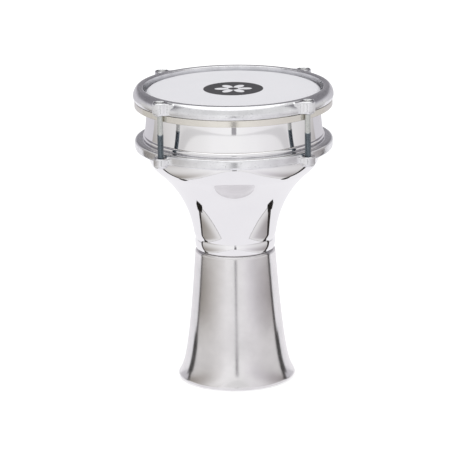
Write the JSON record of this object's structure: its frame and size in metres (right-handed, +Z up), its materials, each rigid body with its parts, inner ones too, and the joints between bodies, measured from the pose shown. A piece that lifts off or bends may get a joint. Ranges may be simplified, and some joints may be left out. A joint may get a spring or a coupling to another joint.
{
  "type": "goblet drum",
  "caption": "Goblet drum (darbuka) with a spun aluminium shell, a clear-edged white film head and a cast tension hoop drawn down by socket bolts.",
  "frame": {"origin": "centre of the foot's rest plane, on the drum's axis", "axes": "+Z up the drum's axis from the foot to the head; the bolts stand at 45 degrees to X and Y"},
  "size_m": [0.186, 0.186, 0.28],
  "materials": {
    "polished_aluminium": "spun and buffed to a near mirror",
    "satin_aluminium": "spun and buffed, softer than the bowl",
    "cast_aluminium": "sand cast and tumbled bright, with fine grain and soft lumps",
    "drawn_aluminium": "rolled bright channel",
    "zinc_plated_steel": "bright blue-white zinc plate",
    "drumhead_polyester": "smooth white polyester film with a dark printed roundel",
    "epoxy_resin": "cast in the channel"
  },
  "bodies": {
    "shell": {"bowl": "polished_aluminium", "stem": "satin_aluminium", "lower_ring": "cast_aluminium", "drumhead_film": "drumhead_polyester"},
    "tension_hoop": {"tension_hoop": "cast_aluminium", "flesh_hoop": "drawn_aluminium", "film_bonding": "epoxy_resin"},
    "bolt_front_left": {"bolt_front_left": "zinc_plated_steel"},
    "bolt_front_right": {"bolt_front_right": "zinc_plated_steel"},
    "bolt_rear_left": {"bolt_rear_left": "zinc_plated_steel"},
    "bolt_rear_right": {"bolt_rear_right": "zinc_plated_steel"}
  },
  "joints": [
    {"name": "hoop_travel", "type": "slide", "parent": "shell", "child": "tension_hoop", "axis": [0, 0, 1], "range_m": [-0.0015, 0.002], "deforming": ["drumhead_film"]},
    {"name": "bolt_front_left_turn", "type": "hinge", "parent": "tension_hoop", "child": "bolt_front_left", "pos_m": [-0.06698, -0.06698, 0.27947], "axis": [0, 0, 1], "range_deg": [-540.5, 720.5]},
    {"name": "bolt_front_right_turn", "type": "hinge", "parent": "tension_hoop", "child": "bolt_front_right", "pos_m": [0.06698, -0.06698, 0.27947], "axis": [0, 0, 1], "range_deg": [-540.5, 720.5]},
    {"name": "bolt_rear_left_turn", "type": "hinge", "parent": "tension_hoop", "child": "bolt_rear_left", "pos_m": [-0.06698, 0.06698, 0.27947], "axis": [0, 0, 1], "range_deg": [-540.5, 720.5]},
    {"name": "bolt_rear_right_turn", "type": "hinge", "parent": "tension_hoop", "child": "bolt_rear_right", "pos_m": [0.06698, 0.06698, 0.27947], "axis": [0, 0, 1], "range_deg": [-540.5, 720.5]}
  ],
  "couplings": [
    {"joint": "bolt_front_left_turn", "follows": "hoop_travel", "rad_per_m": 6283.2},
    {"joint": "bolt_front_right_turn", "follows": "hoop_travel", "rad_per_m": 6283.2},
    {"joint": "bolt_rear_left_turn", "follows": "hoop_travel", "rad_per_m": 6283.2},
    {"joint": "bolt_rear_right_turn", "follows": "hoop_travel", "rad_per_m": 6283.2}
  ]
}
